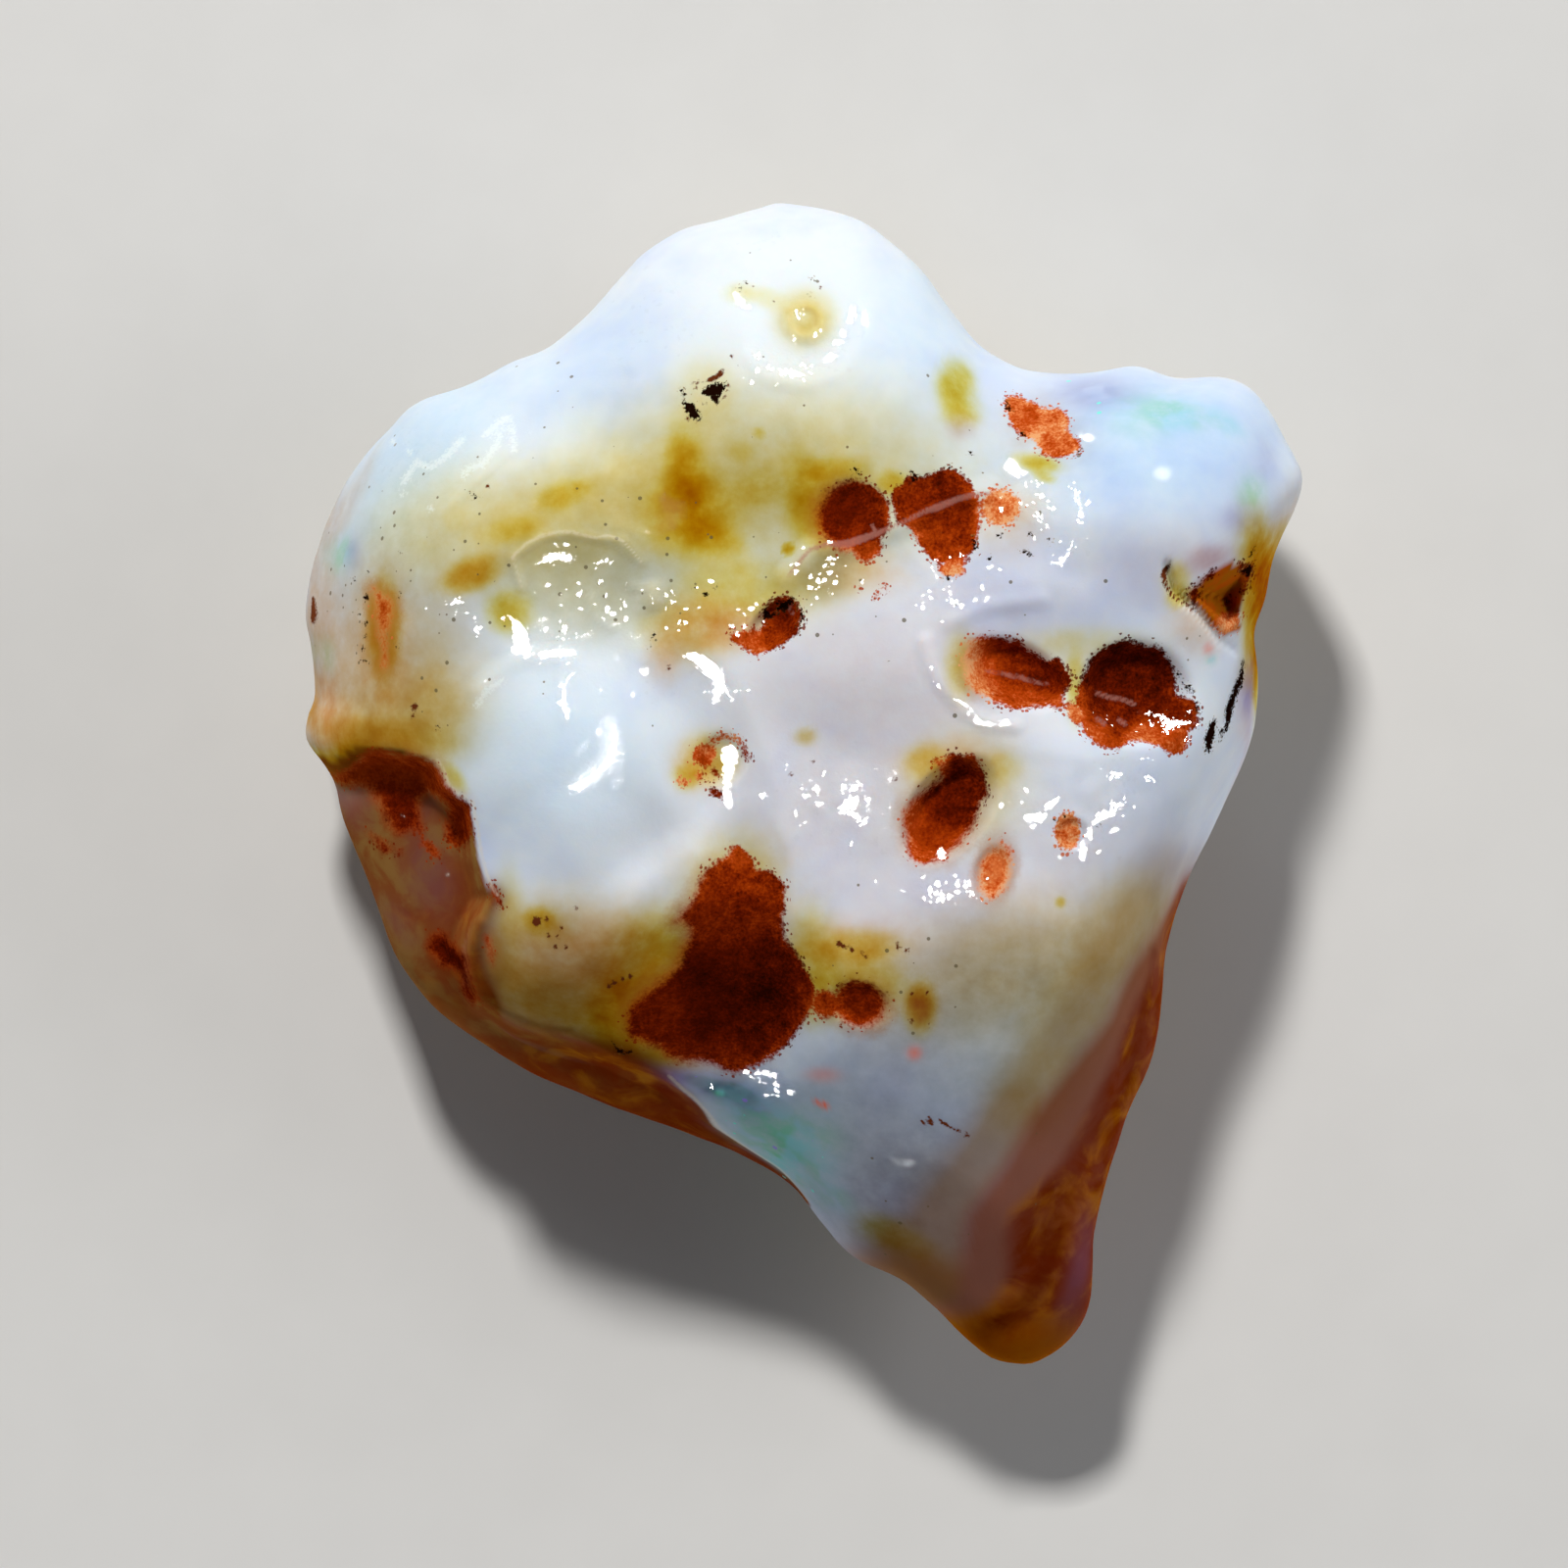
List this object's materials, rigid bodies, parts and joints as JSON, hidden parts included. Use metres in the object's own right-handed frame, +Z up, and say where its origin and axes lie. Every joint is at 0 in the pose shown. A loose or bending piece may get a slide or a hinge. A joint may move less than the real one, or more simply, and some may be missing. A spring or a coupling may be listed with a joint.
{
  "type": "rough fire opal",
  "caption": "Rough milky opal nodule: a lumpy, pitted natural stone with a narrow tip, lying face up on a small flat patch of its back.",
  "frame": {"origin": "under the middle of the stone's box, on the surface that the stone lies on", "axes": "+Y from the narrow tip to the broad crown, +X across the face, +Z up out of the pitted face"},
  "size_m": [0.0204, 0.0238, 0.0099],
  "materials": {
    "opal": "gloss"
  },
  "bodies": {
    "root": {"opal": "opal"}
  },
  "joints": []
}
